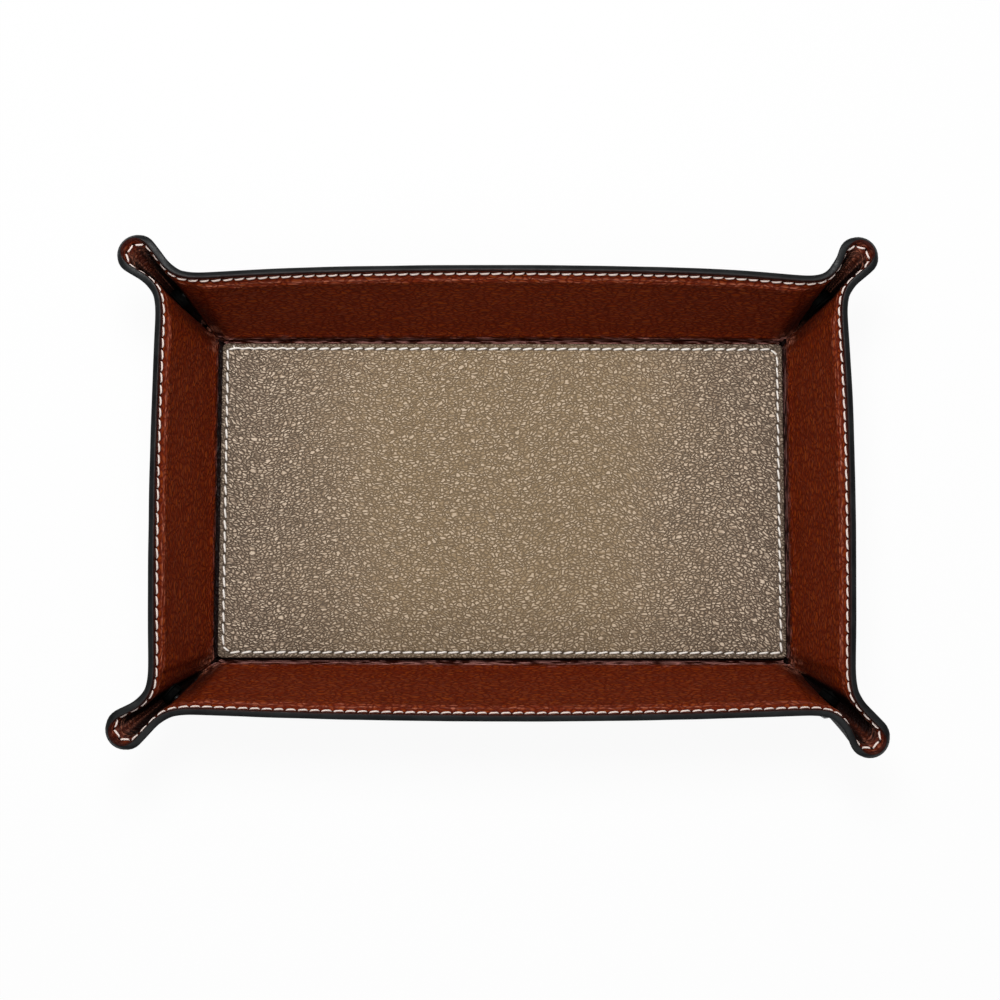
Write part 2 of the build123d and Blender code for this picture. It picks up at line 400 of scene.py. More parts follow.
def thicken(piece, thickness):
    # the sheet keeps the face that was modelled and grows away from it
    solid = piece.modifiers.new("thickness", "SOLIDIFY")
    solid.thickness = thickness * mm
    solid.offset = -1
    solid.use_rim = True


def meshFrom(bm, name):
    mesh = bpy.data.meshes.new(name)
    bm.to_mesh(mesh)
    bm.free()
    return mesh


def addObject(name, data):
    made = bpy.data.objects.new(name, data)
    bpy.context.scene.collection.objects.link(made)
    return made


def finishPiece(name, bm, material, nodes=()):
    bm.transform(Matrix.Scale(mm, 4))
    mesh = meshFrom(bm, name)
    mesh.materials.append(material)
    mesh.polygons.foreach_set("use_smooth", [True] * len(mesh.polygons))
    piece = addObject(name, mesh)
    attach(piece, body)
    if nodes:
        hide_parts(*nodes)
    print("made", name, "with", len(mesh.polygons), "faces")
    return piece


columns = sheetColumns()
print("seam of", len(columns) // tray["columnsPerStitch"], "stitches,", len(columns), "columns")


# Shader helpers
def connect(tree, node, feeds):
    # each socket takes another node's output or a fixed value
    for socket, value in feeds.items():
        target = node.inputs[socket]
        if isinstance(value, bpy.types.NodeSocket):
            tree.links.new(value, target)
        else:
            target.default_value = (*value, 1) if target.type == "RGBA" else value


def put(tree, kind, settings=(), feeds=()):
    node = tree.nodes.new("ShaderNode" + kind)
    for name, value in dict(settings).items():
        setattr(node, name, value)
    connect(tree, node, dict(feeds))
    return node


def calc(tree, operation, *values):
    return put(tree, "Math", {"operation": operation}, dict(enumerate(values))).outputs[0]


def product(tree, *values):
    result = values[0]
    for value in values[1:]:
        result = calc(tree, "MULTIPLY", result, value)
    return result


def vectorCalc(tree, operation, first, second):
    return put(tree, "VectorMath", {"operation": operation}, {0: first, 1: second}).outputs[0]


def remap(tree, value, low, high, newLow=0.0, newHigh=1.0):
    feeds = {0: value, 1: low, 2: high, 3: newLow, 4: newHigh}
    return put(tree, "MapRange", {"interpolation_type": "SMOOTHSTEP"}, feeds).outputs[0]


def mixColour(tree, share, first, second):
    return put(tree, "Mix", {"data_type": "RGBA"}, {0: share, 6: first, 7: second}).outputs[2]


def noiseValue(tree, place, scale, detail=2.0, roughness=0.5):
    feeds = {"Vector": place, "Scale": scale, "Detail": detail, "Roughness": roughness}
    return put(tree, "TexNoise", {}, feeds).outputs[0]


def centredNoise(tree, place, scale, detail=2.0):
    return calc(tree, "SUBTRACT", noiseValue(tree, place, scale, detail), 0.5)


def objectPlace(tree):
    return put(tree, "TexCoord").outputs["Object"]


def mapPlace(tree, name):
    return put(tree, "UVMap", {"uv_map": name}).outputs[0]


def axesOf(tree, vector):
    return put(tree, "SeparateXYZ", {}, {0: vector}).outputs


def mark(tree, name):
    # how strongly one of the mesh's own marks shows here
    return put(tree, "Attribute", {"attribute_name": name}).outputs["Fac"]


def bumped(tree, height, strength, depth):
    feeds = {"Strength": strength, "Distance": depth * mm, "Height": height}
    return put(tree, "Bump", {}, feeds).outputs[0]


def newGroup(name, inputs, outputs):
    # inputs without a usual value are vectors
    tree = bpy.data.node_groups.new(name, "ShaderNodeTree")
    for label, value in inputs.items():
        kind = "NodeSocketVector" if value is None else "NodeSocketFloat"
        socket = tree.interface.new_socket(label, in_out="INPUT", socket_type=kind)
        if value is not None:
            socket.default_value = value
    for label in outputs:
        tree.interface.new_socket(label, in_out="OUTPUT", socket_type="NodeSocketFloat")
    return tree, tree.nodes.new("NodeGroupInput").outputs, tree.nodes.new("NodeGroupOutput")


pebble = {
    "warpScale": 0.4,        # both scales are shares of the pebbles' own
    "wrinkleScale": 0.42,
    "warpReach": 2.8,        # in pebbles, as are the two slopes below
    "side": (0.0, 0.3),
    "crown": (0.08, 0.42),
    "lowestSide": 0.75,
    "lowestCrown": 0.4,
    "wrinkleFloor": 0.35,
}


def pebbleGroup(name, dimensions):
    # drum-dyed grain: pebbles of uneven height, with creases between them and longer wrinkles across
    inputs = {"Vector": None, "Pebble Scale": 700.0, "Wrinkle Width": 0.06}
    tree, source, result = newGroup(name, inputs, ("Height", "Ridge"))
    scale = source["Pebble Scale"]
    feeds = {"Vector": source["Vector"], "Scale": product(tree, scale, pebble["warpScale"]), "Detail": 2.0}
    warp = put(tree, "TexNoise", {}, feeds).outputs["Color"]
    centred = vectorCalc(tree, "SUBTRACT", warp, (0.5, 0.5, 0.5))
    shift = vectorCalc(tree, "MULTIPLY", centred, calc(tree, "DIVIDE", pebble["warpReach"], scale))
    place = vectorCalc(tree, "ADD", source["Vector"], shift)
    cells, feeds = {"voronoi_dimensions": dimensions}, {"Vector": place, "Scale": scale}
    edges = put(tree, "TexVoronoi", dict(cells, feature="DISTANCE_TO_EDGE"), feeds)
    colours = put(tree, "TexVoronoi", cells, feeds)
    edge = edges.outputs["Distance"]
    tone = put(tree, "SeparateColor", {}, {0: colours.outputs["Color"]}).outputs[0]
    fold = calc(tree, "ABSOLUTE", centredNoise(tree, place, product(tree, scale, pebble["wrinkleScale"])))
    wrinkle = remap(tree, fold, 0.0, source["Wrinkle Width"], pebble["wrinkleFloor"])
    # Height is the relief; the leather also gets painted highlights on its tops and painted shade in its
    # creases. Ridge is only a mask for a painted highlight on each pebble's crown.
    for label, reach, lowest in (("Height", "side", "lowestSide"), ("Ridge", "crown", "lowestCrown")):
        uneven = remap(tree, tone, 0.0, 1.0, pebble[lowest])
        relief = product(tree, remap(tree, edge, *pebble[reach]), uneven, wrinkle)
        connect(tree, result, {label: relief})
    return tree


press = {
    # where each mark of the seam begins and where it is full: millimetres from the row, a hole, the edge
    "groove": (0.9, 0.25),
    "hole": (0.75, 0.3),
    "edge": (1.8, 0.5),
}


def seamGroup():
    # pressed line and needle holes beside a row of stitches, from the piece's own seam map
    # its three masks carry painted shade: in the pressed line beside the thread, in the needle holes and in
    # a band along the rim
    inputs = {"Seam": None, "Inset": 2.3, "Pitch": 4.0}
    tree, source, result = newGroup("seamPress", inputs, ("Groove", "Hole", "Edge"))
    seam = axesOf(tree, source["Seam"])
    away = calc(tree, "ABSOLUTE", calc(tree, "SUBTRACT", seam["Y"], source["Inset"]))
    along = product(tree, calc(tree, "PINGPONG", seam["X"], 0.5), source["Pitch"])
    squares = calc(tree, "ADD", calc(tree, "POWER", away, 2.0), calc(tree, "POWER", along, 2.0))
    connect(tree, result, {
        "Groove": remap(tree, away, *press["groove"]),
        "Hole": remap(tree, calc(tree, "SQRT", squares), *press["hole"]),
        "Edge": remap(tree, seam["Y"], *press["edge"]),
    })
    return tree


def patinaGroup():
    # slow changes of tone where hide and handling differ
    inputs = {"Vector": None, "Patch Scale": 18.0, "Strength": 0.5}
    tree, source, result = newGroup("patina", inputs, ("Shade",))
    patch = noiseValue(tree, source["Vector"], source["Patch Scale"], 3.0)
    fleck = noiseValue(tree, source["Vector"], product(tree, source["Patch Scale"], 6.0))
    both = calc(tree, "ADD", product(tree, patch, 0.7), product(tree, fleck, 0.3))
    shade = calc(tree, "MULTIPLY_ADD", calc(tree, "SUBTRACT", both, 0.5), source["Strength"], 0.5)
    connect(tree, result, {"Shade": shade})
    return tree


flatGrain, roundGrain = pebbleGroup("flatGrain", "2D"), pebbleGroup("roundGrain", "3D")
seamPress, patina = seamGroup(), patinaGroup()


def useGroup(tree, made, feeds):
    return put(tree, "Group", {"node_tree": made}, feeds).outputs


def newMaterial(name, values):
    material = bpy.data.materials.new(name)
    material.use_nodes = True
    tree = material.node_tree
    shader = tree.nodes["Principled BSDF"]
    connect(tree, shader, values)
    return material, tree, shader


def flowingPlace(tree, place, look):
    # rows of pebbles that wander up and down along the hide
    along = vectorCalc(tree, "MULTIPLY", place, look["flowAlong"])
    drift = product(tree, centredNoise(tree, along, look["flowScale"], 1.0), look["flow"])
    shift = put(tree, "CombineXYZ", {}, {"Y": drift}).outputs[0]
    return vectorCalc(tree, "ADD", place, shift)


def paintedShadeZone(tree, place, look):
    # painted shade along the panel's front edge and its two ends, where the walls shade it
    parts, (scale, reach) = axesOf(tree, place), look["paintedShadeWander"]
    drift = product(tree, centredNoise(tree, place, scale), reach)
    front = remap(tree, calc(tree, "ADD", parts["Y"], drift), *look["paintedShadeFront"])
    fromMiddle = calc(tree, "ADD", calc(tree, "ABSOLUTE", parts["X"]), drift)
    ends = remap(tree, fromMiddle, *look["paintedShadeEnds"])
    return product(tree, calc(tree, "MAXIMUM", front, ends), look["paintedShadeStrength"])


def calmZone(tree, place, look):
    # 1 in the middle of the panel, where the grain is pressed flatter, and 0 towards its ends
    scale, reach = look["calmWander"]
    drift = product(tree, centredNoise(tree, place, scale), reach)
    away = calc(tree, "ABSOLUTE", calc(tree, "ADD", axesOf(tree, place)["X"], drift))
    return remap(tree, away, *look["calmReach"])


def faded(tree, height, strength):
    # the same relief with its hollows less deep
    return calc(tree, "SUBTRACT", 1.0, product(tree, calc(tree, "SUBTRACT", 1.0, height), strength))


def leatherMaterial(name, look):
    material, tree, shader = newMaterial(name, look["shader"])
    place, seamMap = objectPlace(tree), mapPlace(tree, "seam")
    grainPlace = seamMap if look["alongSeam"] else place
    if "flow" in look:
        grainPlace = flowingPlace(tree, place, look)
    grain = useGroup(tree, look["grain"], {
        "Vector": vectorCalc(tree, "MULTIPLY", grainPlace, look["stretch"]),
        "Pebble Scale": look["pebbleScale"],
        "Wrinkle Width": look["wrinkleWidth"],
    })
    height, ridge = grain["Height"], product(tree, grain["Ridge"], look["ridgeShade"])
    feeds = {"Vector": place, "Patch Scale": look["patchScale"], "Strength": look["patina"]}
    tone = useGroup(tree, patina, feeds)
    feeds = {"Seam": seamMap, "Inset": look["seamInset"], "Pitch": tray["stitchPitch"]}
    seam = useGroup(tree, seamPress, feeds)
    colour = mixColour(tree, tone["Shade"], look["deep"], look["light"])
    if "calmReach" in look:
        middle = calmZone(tree, place, look)
        height = faded(tree, height, remap(tree, middle, 0.0, 1.0, 1.0, look["calmRelief"]))
        ridge = product(tree, ridge, calc(tree, "SUBTRACT", 1.0, middle))
        colour = mixColour(tree, middle, colour, look["middle"])
        # painted shade towards the panel's front edge and ends
        colour = mixColour(tree, paintedShadeZone(tree, place, look), colour, look["crease"])
    # painted highlights on the pebbles' tops and crowns, on wrinkle crests and on the small wrinkles at the
    # foot; painted shade in the grain's creases and folds, beside the thread, along the rim and in the
    # needle holes
    hole = product(tree, seam["Hole"], look["holeShade"])
    layers = (
        (remap(tree, height, *look["topFrom"], 0.0, look["topShade"]), "bright"),
        (remap(tree, height, *look["creaseFrom"], 0.0, look["creaseShade"]), "crease"),
        (ridge, "ridge"),
        (mark(tree, "paintedShade"), "paintedShade"),
        (product(tree, mark(tree, "paintedHighlight"), remap(tree, height, 0.2, 0.8, 0.25)), "paintedHighlight"),
        (mark(tree, "pale"), "pale"),
        (product(tree, seam["Groove"], look["grooveShade"]), "crease"),
        (product(tree, seam["Edge"], look["edgeShade"]), "crease"),
        (hole, "hole"),
    )
    for share, tint in layers:
        colour = mixColour(tree, share, colour, look[tint])
    flattened = calc(tree, "SUBTRACT", 1.0, product(tree, seam["Groove"], look["grooveFlat"]))
    relief = calc(tree, "SUBTRACT", product(tree, height, flattened), hole)
    connect(tree, shader, {
        "Base Color": colour,
        "Roughness": remap(tree, height, 0.1, 0.9, *look["rough"]),
        "Normal": bumped(tree, relief, look["bump"], look["depth"]),
    })
    return material


liningLook = {
    "shader": {"Specular IOR Level": 0.1},
    "alongSeam": True,
    "stretch": (tray["stitchPitch"] * mm * 0.4, mm, 1.0),    # pebbles are drawn out along the walls
    "grain": flatGrain,
    "pebbleScale": 900.0,    # pebbles in a metre
    "wrinkleWidth": 0.05,
    "patchScale": 22.0,
    "patina": 0.9,
    "seamInset": tray["stitchInset"],
    "deep": (0.108, 0.0084, 0.0008),
    "light": (0.19, 0.018, 0.0018),
    # painted highlight on the tops of the pebbles
    "bright": (0.38, 0.07, 0.004),
    "topFrom": (0.4, 0.95),
    "topShade": 0.18,
    # painted highlight on each pebble's crown
    "ridge": (0.5, 0.115, 0.012),
    "ridgeShade": 0.16,
    # painted highlight on the crests of wrinkles and ear folds, on the ears' tips and in pale specks there
    "paintedHighlight": (0.52, 0.18, 0.11),
    # painted highlight on the small wrinkles at the foot
    "pale": (0.95, 0.42, 0.36),
    # near-black painted shade in valleys, necks, ear hollows, the fold round the panel and the panel's
    # needle holes, and in dark specks on the ears' tips
    "paintedShade": (0.006, 0.0012, 0.0008),
    # painted shade in the grain's creases, beside the thread and along the rim, and on the panel towards
    # its front edge and ends
    "crease": (0.022, 0.003, 0.0015),
    "creaseFrom": (0.3, 0.02),
    "creaseShade": 0.42,
    # painted shade beside the thread and in a band along the rim
    "grooveShade": 0.35,
    "grooveFlat": 0.5,       # the grain under the thread is pressed this much flatter
    "edgeShade": 0.88,
    # painted shade in the needle holes beside the thread
    "hole": (0.01, 0.003, 0.002),
    "holeShade": 0.9,
    "rough": (0.6, 0.4),     # in the creases and on the pebbles
    "bump": 1.0,
    "depth": 0.24,
}
coverLook = dict(
    liningLook,
    alongSeam=False,
    grain=roundGrain,
    stretch=(1.0, 1.0, 1.0),
    pebbleScale=760.0,
    deep=(0.012, 0.011, 0.011),
    light=(0.026, 0.025, 0.025),
    bright=(0.04, 0.038, 0.037),
    ridge=(0.05, 0.048, 0.047),
    crease=(0.006, 0.006, 0.006),
    hole=(0.003, 0.003, 0.003),
)
panelLook = dict(
    coverLook,
    grain=flatGrain,
    stretch=(0.74, 1.2, 1.0),
    flow=0.045,
    flowAlong=(1.0, 0.15, 0.0),      # the rows bend with the place along the panel, much less across it
    flowScale=14.0,
    pebbleScale=850.0,
    wrinkleWidth=0.07,
    calmReach=(0.1, 0.03),
    calmWander=(26.0, 0.03),         # scale and reach of the zone's uneven edge
    calmRelief=0.82,
    middle=(0.338, 0.235, 0.13),
    # painted shade towards the front edge and the two ends, where the walls shade the panel
    paintedShadeFront=(-0.028, -0.056),
    paintedShadeEnds=(0.084, 0.099),
    paintedShadeWander=(30.0, 0.012),
    paintedShadeStrength=0.3,
    seamInset=1.9,
    shader={"Specular IOR Level": 0.2},
    deep=(0.29, 0.207, 0.15),
    light=(0.43, 0.308, 0.208),
    bright=(0.74, 0.585, 0.43),
    topShade=0.62,
    ridge=(0.88, 0.73, 0.575),
    ridgeShade=0.46,
    crease=(0.07, 0.05, 0.035),
    creaseFrom=(0.46, 0.02),
    creaseShade=0.85,
    grooveShade=0.6,
    edgeShade=0.45,
    # the painted shade of its needle holes is marked on the mesh instead
    holeShade=0.0,           # its needle holes are marked on the mesh
    depth=0.42,
)


def coatMaterial(name, look):
    # paint or lacquer: brushed by one noise, and shaded by the same or a slower one
    material, tree, shader = newMaterial(name, {"Specular IOR Level": look["shine"]})
    place = objectPlace(tree)
    brush = noiseValue(tree, place, *look["brush"])
    slow = noiseValue(tree, place, look["patches"]) if "patches" in look else brush
    connect(tree, shader, {
        "Base Color": mixColour(tree, remap(tree, slow, *look["tintFrom"]), *look["tints"]),
        "Roughness": remap(tree, brush, 0.3, 0.7, *look["rough"]),
        "Normal": bumped(tree, brush, *look["relief"]),
    })
    return material


paintLook = {
    "shine": 0.22,
    "brush": (900.0, 3.0, 0.6),      # scale, detail and roughness
    "patches": 120.0,
    "tintFrom": (0.3, 0.7),
    "tints": ((0.004, 0.0045, 0.005), (0.011, 0.012, 0.0125)),
    "rough": (0.36, 0.55),
    "relief": (0.5, 0.08),   # strength, and depth in millimetres
}
capLook = {              # brass under black lacquer, like the studs
    "shine": 0.4,
    "brush": (600.0, 4.0, 0.6),
    "tintFrom": (0.4, 0.7),
    "tints": ((0.004, 0.004, 0.004), (0.012, 0.012, 0.0108)),
    "rough": (0.3, 0.45),
    "relief": (0.15, 0.03),
}
# the stud parts inside the necks are lacquered like the caps, but painted darker and almost without shine:
# painted shade that sinks them into the necks' darkness
studShadeTints = (0.001, 0.001, 0.001), (0.004, 0.004, 0.0036)
studLook = dict(capLook, shine=0.03, tints=studShadeTints, rough=(0.7, 0.85))


def threadMaterial(name, pale, shaded):
    # three plies laid round each other, with waxed fibres
    values = {"Roughness": 0.55, "Sheen Weight": 0.15, "Specular IOR Level": 0.35}
    material, tree, shader = newMaterial(name, values)
    around = axesOf(tree, mapPlace(tree, "ply"))
    turn = calc(tree, "MULTIPLY_ADD", around["Y"], 3.0, around["X"])
    ply = calc(tree, "PINGPONG", product(tree, turn, 3.0), 0.5)
    fibre = noiseValue(tree, objectPlace(tree), 4200.0)
    colour = mixColour(tree, remap(tree, ply, 0.0, 0.22), shaded, pale)
    height = calc(tree, "ADD", product(tree, ply, 1.6), product(tree, fibre, 0.25))
    connect(tree, shader, {
        "Base Color": mixColour(tree, remap(tree, fibre, 0.35, 0.75, 0.0, 0.3), colour, shaded),
        "Normal": bumped(tree, height, 0.6, 0.08),
    })
    return material


def boardMaterial():
    material, tree, shader = newMaterial("fibreBoard", {"Roughness": 0.85, "Specular IOR Level": 0.2})
    fibre = noiseValue(tree, objectPlace(tree), 1400.0, 4.0, 0.7)
    connect(tree, shader, {
        "Base Color": mixColour(tree, fibre, (0.035, 0.026, 0.02), (0.11, 0.085, 0.065)),
        "Normal": bumped(tree, fibre, 0.4, 0.1),
    })
    return material


liningLeather = leatherMaterial("chestnutLeather", liningLook)
coverLeather = leatherMaterial("blackLeather", coverLook)
panelLeather = leatherMaterial("taupeLeather", panelLook)
edgePaint = coatMaterial("edgePaint", paintLook)
rimThreadMaterial = threadMaterial("rimThread", (1.0, 0.87, 0.8), (0.84, 0.64, 0.56))
bobbinMaterial = threadMaterial("bobbinThread", (0.05, 0.048, 0.046), (0.012, 0.011, 0.01))
panelThreadMaterial = threadMaterial("panelThread", (1.0, 0.96, 0.9), (0.9, 0.8, 0.7))
fibreBoard = boardMaterial()
capLacquer = coatMaterial("capLacquer", capLook)
studShadedLacquer = coatMaterial("studShadedLacquer", studLook)
print("materials made")


# Inner lining: one sheet over the floor, the board under the panel, the walls and the ears
lining = {
    # inset from the panel's edge and drop below it, over the pad's edge and down into the fold
    "padRows": ((6.0, 0.0), (1.2, 0.0), (0.5, 0.0), (0.12, 0.1), (0.0, 0.5), (-0.12, 1.1), (-0.45, 1.55),
                (-0.75, 1.6), (-1.0, 1.48), (-1.25, 1.6), (-1.5, 1.46), (-1.78, 1.6)),
    "padRadius": 2.2,
    "foldInset": -0.7,       # the fold's own floor begins here
    "foldCrests": (-1.0, -1.5),      # two small wrinkles on it
    "foldLight": (0.2, 0.85),        # how far the right fold and the long ones lie open to the light
    # how much lighter the painted shade in the fold is where it lies open to the light
    "foldLitShare": 0.4,
    "crestFrom": (0.3, 0.9),
    "footRows": (0.0, 0.35, 0.7, 1.05, 1.4, 1.75, 2.1, 2.45, 2.8, 3.15, 3.5, 3.85, 4.4),
    "middleRows": 9,
    "rimRows": (8.6, 7.6, 7.0, 6.5, 6.1, 5.7, 5.35, 5.0, 4.7, 4.4, 4.1, 3.8, 3.4, 3.0, 2.65, 2.3, 1.95, 1.5,
                0.7, 0.0),
    "boardThickness": 1.0,
    "boardFootEnd": 4.5,
    "boardRimEnd": 10.5,
    "boardSlope": 2.0,       # the leather slopes down over this much beyond a board
    "grooveDepth": 0.34,
    "grooveWidth": 0.7,
    "holeDepth": 0.3,
    "pillow": 0.14,
    "pillowRows": ((3.6, 0.6), (1.1, 0.5)),      # from the rim, and how wide
    "footRipple": 0.6,
    "rimRipple": 0.4,
    "lineWidth": 0.38,
    "rimLines": ((4.3, 1.15), (5.2, 0.95), (6.2, 0.75)),     # each long wrinkle's distance and strength
    "footLines": ((0.4, 1.1), (1.5, 1.05), (2.6, 1.0), (3.7, 0.75)),
    "crumple": 0.8,
    "crumpleSize": 2.3,
    "crumpleSink": 0.35,     # a fold's ridge rises out of a hollow
    "earFold": 1.0,
    "earFoldSink": 0.4,
    "wave": 0.12,
    "waveLength": 17,
    # where each fold or shade begins and where it is full: in millimetres, share of the height or ear mark
    "reach": {
        "board": (("ear", 0.25, 0.0),),
        "crumple": (("foot", 16, 5), ("corner", 13, 4), ("foot", -0.8, 1.2)),
        "earFold": (("ear", 0.5, 0.7), ("rim", 2.6, 7), ("height", 0.15, 0.5)),
        "streak": (("ear", 0.7, 0.88), ("height", 0.3, 0.6)),
        "wave": (("foot", 0, 6), ("rim", 0, 5)),
        "neck": (("ear", 0.05, 0.35),),
        "valley": (("corner", 11, 1), ("height", 1.0, 0.55)),
        "earDark": (("rim", 2.0, 4.2),),
        "tipLight": (("ear", 0.86, 1.0), ("height", 0.5, 0.9)),
        "tipHighlight": (("ear", 0.84, 1.0), ("height", 0.45, 0.8), ("rim", 2.6, 4.5)),
        "speck": (("ear", 0.8, 0.88),),
        "crease": (("foot", 0.9, 0.1),),
        "wideCrease": (("foot", 3.9, 2.4),),
    },
    # strengths of the painted shade in the valleys, in the creases at the foot and in the ears
    "valleyShade": {"long": 0.85, "short": 0.6},
    "creaseShade": {"left": 1.0, "other": 0.5},
    "wideCreaseShade": {"long": 0.55, "short": 0.2},
    "tipShade": 0.72,
    # the painted highlight on the long wrinkles at the foot
    "paleFoot": {"long": 0.85, "short": 0.3},
    "paleFrom": (0.5, 1.0),
    "crestHighlight": 0.85,            # how strong the painted highlight on the crests of the wrinkles is
    "crestHighlightFrom": (0.45, 0.9),
    "crumpleHighlight": 0.9,
    "tipHighlight": 0.05,
    "streakHighlight": 0.42,
    "streakFrom": (0.6, 0.97),
    "specks": (1.3, 0.7),    # a band of specks on the ears' tips: from the rim, and how wide
    "speckDark": (2.2, 0.75),        # strength and most
    "speckPale": (1.3, 0.4),
}


def rowShares(slant):
    # shares of the wall's height: by distance from the foot, evenly between, and by distance from the rim
    foot = [distance / slant for distance in lining["footRows"]]
    rim = [1 - distance / slant for distance in lining["rimRows"]]
    steps = lining["middleRows"] + 1
    return foot + [between(foot[-1], rim[0], step / steps) for step in range(1, steps)] + rim


def wallSpot(at, point, normal, share):
    # one place on a wall with its measures, by which the folds know whether they reach it
    column, meet = columns[at], footHalf + cornerSpread * share
    return {
        "at": at,
        "point": point,
        "normal": normal,
        "wall": "long" if abs(normal.y) > abs(normal.x) else "short",
        "height": share,
        "foot": share * column["slant"],
        "rim": (1 - share) * column["slant"],
        "corner": max(meet.x - abs(point.x), meet.y - abs(point.y), 0),
        "ear": column["ear"],
    }


def reached(spot, name):
    share = 1
    for measure, begins, full in lining["reach"][name]:
        share *= smooth(begins, full, spot[measure])
    return share


def boardMask(spot):
    point, slope = spot["point"], lining["boardSlope"]
    axis = 0 if spot["wall"] == "long" else 1
    share = (point.z - leather) / wallRise
    onBoard = clamp((point.z - boardLow.z) / (boardHigh.z - boardLow.z))
    half = (footHalf + cornerSpread * share)[axis]
    half -= between(lining["boardFootEnd"], lining["boardRimEnd"], onBoard)
    inside = smooth(-slope, 0, half - abs(point[axis])) * reached(spot, "board")
    return inside * smooth(-slope, 0, point.z - boardLow.z) * smooth(-slope, 0, boardHigh.z - point.z)


def ridges(place):
    return 1 - 2 * abs(noise.noise(place))


def wavyLines(at, distance, lines):
    # long thin wrinkles that wander along the seam, each at its own distance from an edge
    crest = 0
    for index, (middle, strength) in enumerate(lines):
        drift = middle + 0.5 * noise.noise(Vector((at / 6, index * 7.7, middle)))
        patch = 0.5 + 0.5 * noise.noise(Vector((at / 4, index * 5.1, middle)))
        crest = max(crest, hump(drift, lining["lineWidth"], distance) * between(patch, 1, 0.35) * strength)
    return crest


def liningFolds(spot):
    # the wrinkles of the leather at one place, each from 0 to 1, and the painted shade in its valleys,
    # necks, ear hollows and creases at the foot
    ear = ridges(Vector((spot["at"] * 0.6, spot["height"] * 0.8, 3.1)))
    neck = reached(spot, "neck")
    valley = reached(spot, "valley") * lining["valleyShade"][spot["wall"]]
    inEar = reached(spot, "earDark") * between(1.0, lining["tipShade"], reached(spot, "tipLight"))
    side = "left" if spot["normal"].x < -0.5 else "other"
    crease = reached(spot, "crease") * lining["creaseShade"][side]
    wideCrease = reached(spot, "wideCrease") * lining["wideCreaseShade"][spot["wall"]]
    return {
        "rim": wavyLines(spot["at"], spot["rim"], lining["rimLines"]),
        "foot": wavyLines(spot["at"], spot["foot"], lining["footLines"]),
        "crumple": ridges(spot["point"] / lining["crumpleSize"]) * reached(spot, "crumple"),
        "ear": ear * reached(spot, "earFold"),
        "streak": ear * reached(spot, "streak"),
        "paintedShade": max(valley * (1 - neck), neck * inEar, crease, wideCrease),
    }


def pressed(at, fromRim, piece):
    # how deep the thread draws the leather in along its row, and deeper at each needle hole
    depth = piece["grooveDepth"]
    if at % tray["columnsPerStitch"] == 0:
        depth += piece["holeDepth"]
    return depth * hump(tray["stitchInset"], piece["grooveWidth"], fromRim)


def sunken(fold, share):
    return fold - share * smooth(0, 0.3, fold)


def liningRelief(spot, folds):
    relief = lining["boardThickness"] * boardMask(spot) - pressed(spot["at"], spot["rim"], lining)
    pillows = sum(hump(middle, width, spot["rim"]) for middle, width in lining["pillowRows"])
    relief += lining["pillow"] * pillows
    relief += lining["footRipple"] * folds["foot"] + lining["rimRipple"] * folds["rim"]
    relief += lining["crumple"] * sunken(folds["crumple"], lining["crumpleSink"])
    relief += lining["earFold"] * sunken(folds["ear"], lining["earFoldSink"])
    wave = lining["wave"] * noise.noise(spot["point"] / lining["waveLength"])
    return relief + wave * reached(spot, "wave")


def liningMarks(spot, folds):
    # how much painted shade and painted highlight one place gets, with a band of dark and pale specks on
    # the ears' tips
    crestHighlight = smooth(*lining["crestHighlightFrom"], folds["rim"] + folds["crumple"] * lining["crumpleHighlight"])
    speck = noise.noise(Vector((spot["at"] * 0.9, 0.4, 7.7)))
    speck *= reached(spot, "speck") * hump(*lining["specks"], spot["rim"])
    (dark, darkMost), (pale, paleMost) = lining["speckDark"], lining["speckPale"]
    return {
        "pale": smooth(*lining["paleFrom"], folds["foot"]) * lining["paleFoot"][spot["wall"]],
        "paintedShade": max(folds["paintedShade"], clamp(speck * dark, 0, darkMost)),
        "paintedHighlight": max(
            crestHighlight * lining["crestHighlight"], reached(spot, "tipHighlight") * lining["tipHighlight"],
            smooth(*lining["streakFrom"], folds["streak"]) * lining["streakHighlight"],
            clamp(-speck * pale, 0, paleMost)),
    }


def foldMarks(marks):
    # painted shade fills the fold round the panel; all but its left side is lighter where it lies open to
    # the light and gets painted highlights on two small wrinkles
    for at, column in enumerate(columns):
        foot = column["foot"]
        if column["ear"] > 0 or foot.x < 0.1 - footHalf.x:
            continue
        light = lining["foldLight"][0 if foot.x > footHalf.x - 0.1 else 1]
        for row, (inset, _) in enumerate(lining["padRows"]):
            if inset < lining["foldInset"]:
                marks["paintedShade"][row][at] = 1 - light * lining["foldLitShare"]
            if inset in lining["foldCrests"]:
                ripple = ridges(Vector((foot.x / 5, foot.y / 5, inset * 9)))
                marks["pale"][row][at] = smooth(*lining["crestFrom"], ripple) * light


def liningFace():
    points, seams = [], []
    for inset, drop in lining["padRows"]:
        radius = max(lining["padRadius"] - inset, 0)
        line = [nearestOnPlate(column["foot"], panelHalf(inset), radius) for column in columns]
        points.append([Vector((spot.x, spot.y, padTop - drop)) for spot in line])
        seams.append([column["slant"] + inset + 2 for column in columns])
    walls, wallSeams = wallLines(list(zip(*[rowShares(column["slant"]) for column in columns])))
    return points + walls, seams + wallSeams


